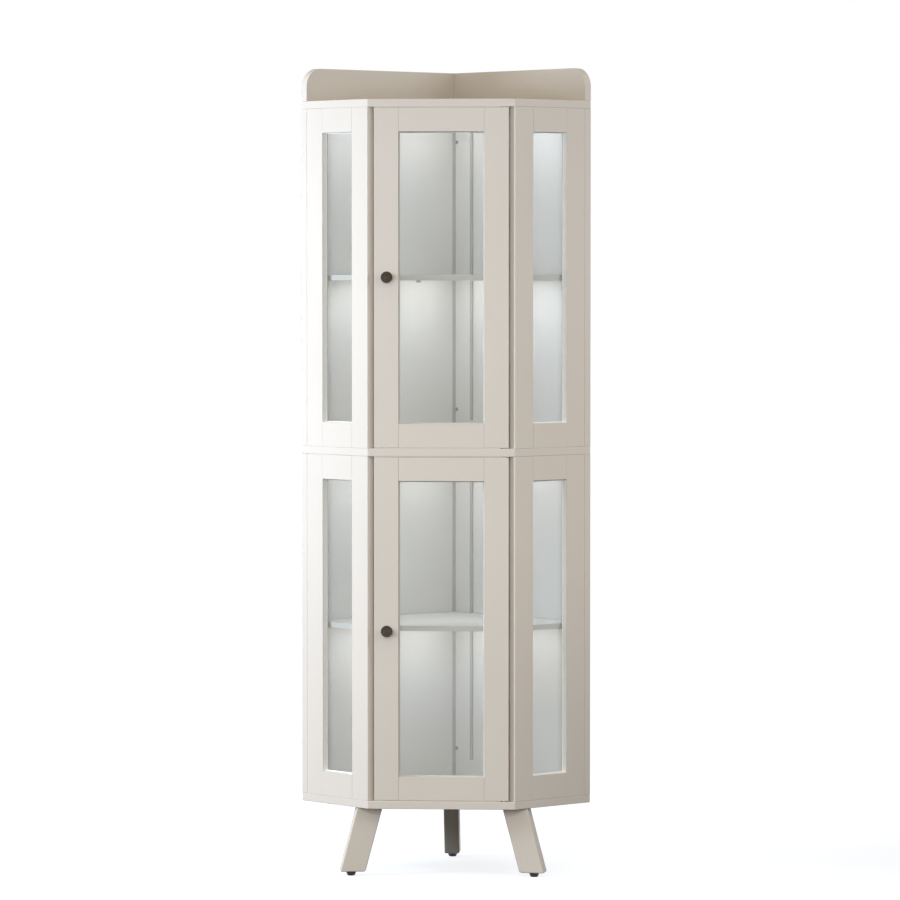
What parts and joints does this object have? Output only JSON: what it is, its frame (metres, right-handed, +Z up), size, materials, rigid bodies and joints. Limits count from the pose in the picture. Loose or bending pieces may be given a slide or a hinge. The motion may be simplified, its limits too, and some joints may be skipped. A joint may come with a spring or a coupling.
{
  "type": "corner curio cabinet",
  "caption": "Five-sided corner display cabinet on splayed legs: stacked bays with framed glass doors hinged on the right, glazed sides, shelves, round knobs and a low gallery round the top.",
  "frame": {"origin": "on the floor under the middle of the cabinet's bounding box, knobs included", "axes": "+Z up, -Y out through the doors, +X towards the hinge side; the room corner lies towards +Y"},
  "size_m": [0.5496, 0.434, 1.524],
  "materials": {
    "cabinet_paint": "satin warm off-white paint on fibreboard",
    "inner_paint": "satin off-white paint on fibreboard",
    "pane_glass": "clear float glass",
    "knob_bronze": "dark antique bronze",
    "glide_plastic": "black moulded plastic",
    "pin_steel": "zinc-plated steel",
    "white_plastic": "white moulded nylon",
    "light_diffuser": "milky diffuser over white lamps"
  },
  "bodies": {
    "carcass": {"bottom_board": "cabinet_paint", "middle_board": "cabinet_paint", "top_board": "cabinet_paint", "left_gallery_rail": "cabinet_paint", "right_gallery_rail": "cabinet_paint", "lower_left_back_panel": "inner_paint", "lower_right_back_panel": "inner_paint", "upper_left_back_panel": "inner_paint", "upper_right_back_panel": "inner_paint", "lower_left_side_frame": "cabinet_paint", "lower_right_side_frame": "cabinet_paint", "upper_left_side_frame": "cabinet_paint", "upper_right_side_frame": "cabinet_paint", "lower_left_side_glass": "pane_glass", "lower_right_side_glass": "pane_glass", "upper_left_side_glass": "pane_glass", "upper_right_side_glass": "pane_glass", "lower_shelf": "inner_paint", "upper_shelf": "inner_paint", "lower_left_rear_shelf_pin": "pin_steel", "lower_left_front_shelf_pin": "pin_steel", "lower_right_rear_shelf_pin": "pin_steel", "lower_right_front_shelf_pin": "pin_steel", "upper_left_rear_shelf_pin": "pin_steel", "upper_left_front_shelf_pin": "pin_steel", "upper_right_rear_shelf_pin": "pin_steel", "upper_right_front_shelf_pin": "pin_steel", "lower_ceiling_light_bar": "light_diffuser", "lower_shelf_light_bar": "light_diffuser", "upper_ceiling_light_bar": "light_diffuser", "upper_shelf_light_bar": "light_diffuser", "lower_wire_channel": "white_plastic", "upper_wire_channel": "white_plastic", "front_left_leg": "cabinet_paint", "front_right_leg": "cabinet_paint", "rear_leg": "cabinet_paint", "front_left_glide": "glide_plastic", "front_right_glide": "glide_plastic", "rear_glide": "glide_plastic", "front_left_leg_bolt": "pin_steel", "front_right_leg_bolt": "pin_steel", "rear_leg_bolt": "pin_steel", "lower_magnetic_catch": "white_plastic", "upper_magnetic_catch": "white_plastic", "lower_bottom_pivot_pin": "pin_steel", "lower_top_pivot_pin": "pin_steel", "upper_bottom_pivot_pin": "pin_steel", "upper_top_pivot_pin": "pin_steel"},
    "lower_door": {"lower_door_frame": "cabinet_paint", "lower_door_glass": "pane_glass", "lower_knob": "knob_bronze", "lower_strike_plate": "pin_steel", "lower_bottom_bushing": "white_plastic", "lower_top_bushing": "white_plastic"},
    "upper_door": {"upper_door_frame": "cabinet_paint", "upper_door_glass": "pane_glass", "upper_knob": "knob_bronze", "upper_strike_plate": "pin_steel", "upper_bottom_bushing": "white_plastic", "upper_top_bushing": "white_plastic"}
  },
  "joints": [
    {"name": "lower_door_hinge", "type": "hinge", "parent": "carcass", "child": "lower_door", "pos_m": [0.11735, -0.18816, 0.469], "axis": [0, 0, 1], "range_deg": [0, 110]},
    {"name": "upper_door_hinge", "type": "hinge", "parent": "carcass", "child": "upper_door", "pos_m": [0.11735, -0.18816, 1.1275], "axis": [0, 0, 1], "range_deg": [0, 110]}
  ]
}
